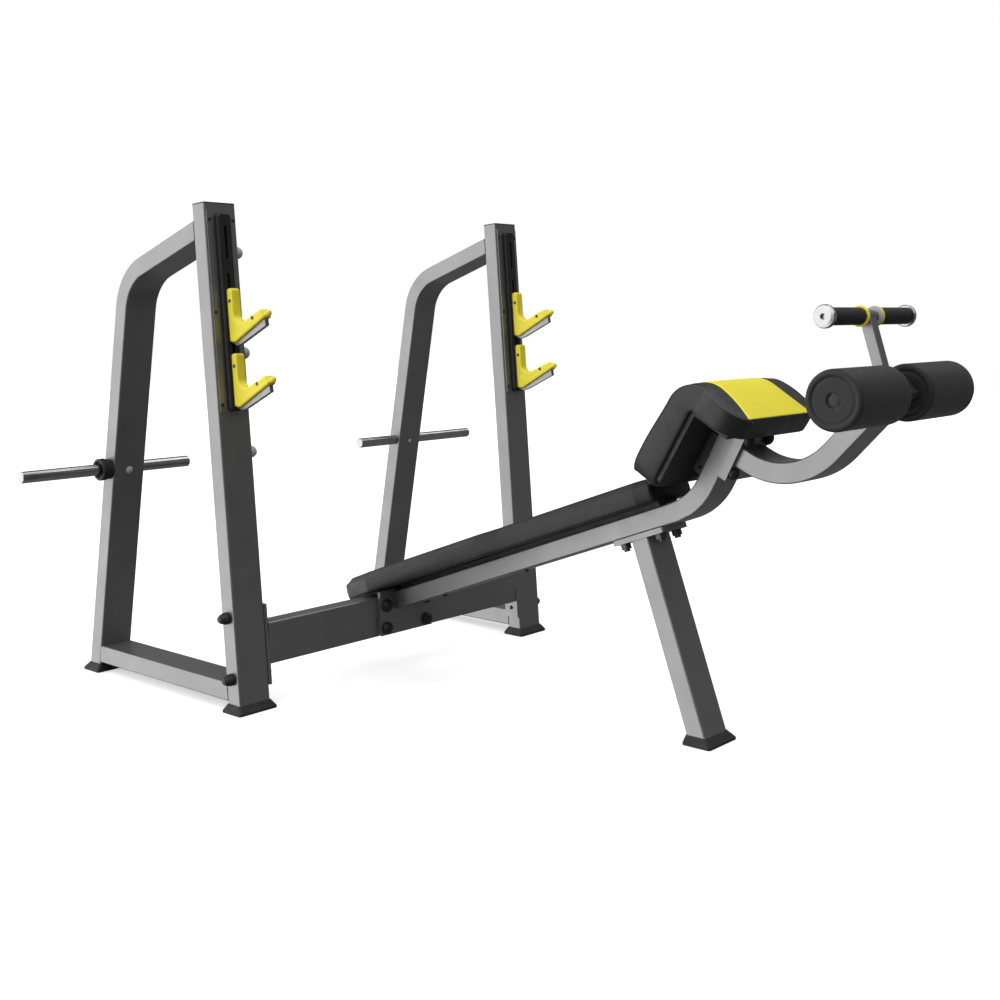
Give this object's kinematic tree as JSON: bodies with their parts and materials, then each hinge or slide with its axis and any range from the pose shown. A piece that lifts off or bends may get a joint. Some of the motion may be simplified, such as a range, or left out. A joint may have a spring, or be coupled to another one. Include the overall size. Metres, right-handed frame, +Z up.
{
  "type": "decline weight bench with barbell rack",
  "caption": "Decline bench on a leaning barbell rack, with a humped knee pad, foam leg rollers on a curved arm, a handle bar and weight horns.",
  "frame": {"origin": "on the floor under the middle of the whole object", "axes": "+X from the barbell rack towards the leg rollers, +Y to the left of a person walking towards the rollers, +Z up"},
  "size_m": [2.2638, 1.774, 1.324],
  "materials": {
    "frame_paint": "satin metallic powder coat",
    "black_plastic": "matt moulded",
    "black_rubber": "matt",
    "dark_steel": "black oxide",
    "hook_steel": "brushed",
    "grey_plastic": "satin",
    "chromed_steel": "polished",
    "plain_steel": "turned",
    "yellow_plastic": "satin moulded",
    "pad_cover": "fine-grained upholstery vinyl",
    "yellow_cover": "fine-grained upholstery vinyl",
    "pad_board": "black-stained plywood",
    "roller_foam": "closed-cell foam with a fine skin"
  },
  "bodies": {
    "frame": {"left_rack_post": "frame_paint", "right_rack_post": "frame_paint", "left_rear_tube": "frame_paint", "right_rear_tube": "frame_paint", "base_tubes": "frame_paint", "crossbeam": "frame_paint", "crossbeam_end_plates": "frame_paint", "rail_base_plates": "frame_paint", "bench_tube": "frame_paint", "bench_flange": "frame_paint", "front_leg": "frame_paint", "leg_top_plate": "frame_paint", "bench_tube_flange": "frame_paint", "arm_flange": "frame_paint", "roller_arm": "frame_paint", "handle_stem": "frame_paint", "tube_end_plugs": "black_plastic", "bolt_caps": "black_plastic", "hook_rails": "black_plastic", "axle_end_caps": "black_plastic", "back_pad_spacer": "black_plastic", "rubber_feet": "black_rubber", "right_horn_collar": "black_rubber", "hand_grips": "black_rubber", "crossbeam_bolt_heads": "dark_steel", "rail_screws": "dark_steel", "leg_bolts": "dark_steel", "back_pad_bolts": "dark_steel", "knee_pad_screws": "dark_steel", "knee_pad_bracket": "dark_steel", "right_post_studs": "grey_plastic", "horn_set_screws": "grey_plastic", "handle_washers": "grey_plastic", "left_weight_horn": "chromed_steel", "right_weight_horn": "chromed_steel", "handle_end_caps": "chromed_steel", "roller_axle": "plain_steel", "handle_bar": "plain_steel", "handle_collars": "yellow_plastic", "back_pad": "pad_cover", "knee_pad": "pad_cover", "back_pad_board": "pad_board", "knee_pad_board": "pad_board"},
    "left_upper_hook": {"left_upper_hook_liner": "yellow_plastic", "left_upper_hook_bracket": "hook_steel", "left_upper_hook_screws": "dark_steel"},
    "left_lower_hook": {"left_lower_hook_liner": "yellow_plastic", "left_lower_hook_bracket": "hook_steel", "left_lower_hook_screws": "dark_steel"},
    "right_upper_hook": {"right_upper_hook_liner": "yellow_plastic", "right_upper_hook_bracket": "hook_steel", "right_upper_hook_screws": "dark_steel"},
    "right_lower_hook": {"right_lower_hook_liner": "yellow_plastic", "right_lower_hook_bracket": "hook_steel", "right_lower_hook_screws": "dark_steel"},
    "left_roller": {"left_foam_roller": "roller_foam", "left_roller_core": "plain_steel"},
    "right_roller": {"right_foam_roller": "roller_foam", "right_roller_core": "plain_steel"}
  },
  "joints": [
    {"name": "left_upper_hook_height", "type": "slide", "parent": "frame", "child": "left_upper_hook", "axis": [-0.0831, 0, 0.9965], "range_m": [-0.014, 0.04]},
    {"name": "left_lower_hook_height", "type": "slide", "parent": "frame", "child": "left_lower_hook", "axis": [-0.0831, 0, 0.9965], "range_m": [-0.018, 0.014]},
    {"name": "right_upper_hook_height", "type": "slide", "parent": "frame", "child": "right_upper_hook", "axis": [-0.0831, 0, 0.9965], "range_m": [-0.014, 0.04]},
    {"name": "right_lower_hook_height", "type": "slide", "parent": "frame", "child": "right_lower_hook", "axis": [-0.0831, 0, 0.9965], "range_m": [-0.018, 0.014]},
    {"name": "left_roller_spin", "type": "hinge", "parent": "frame", "child": "left_roller", "pos_m": [1.06794, 0, 0.868], "axis": [0, 1, 0], "continuous": true},
    {"name": "right_roller_spin", "type": "hinge", "parent": "frame", "child": "right_roller", "pos_m": [1.06794, 0, 0.868], "axis": [0, 1, 0], "continuous": true}
  ]
}
